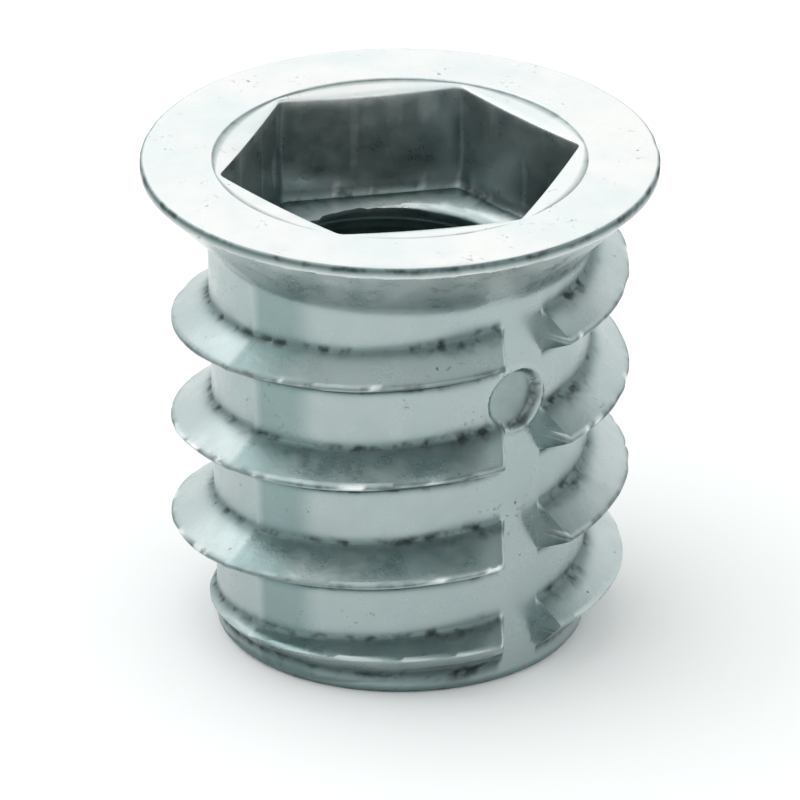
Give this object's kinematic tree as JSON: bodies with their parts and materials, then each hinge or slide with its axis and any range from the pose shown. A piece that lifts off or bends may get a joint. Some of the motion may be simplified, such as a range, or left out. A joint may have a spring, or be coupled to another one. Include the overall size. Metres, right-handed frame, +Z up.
{
  "type": "threaded insert",
  "caption": "Flanged insert nut with a hexagon socket, a coarse outer thread for wood and a metric screw bore.",
  "frame": {"origin": "centre of the bottom end, on the screw axis", "axes": "+Z up along the screw axis towards the flange; +X through the thread-free land that carries the gate mark, where the hexagon has a corner"},
  "size_m": [0.0132, 0.0132, 0.013],
  "materials": {
    "zinc": "bright blue-white zinc plating on a die casting, satin, with worn crests and dark specks in the roots"
  },
  "bodies": {
    "root": {"insert_body": "zinc"}
  },
  "joints": []
}
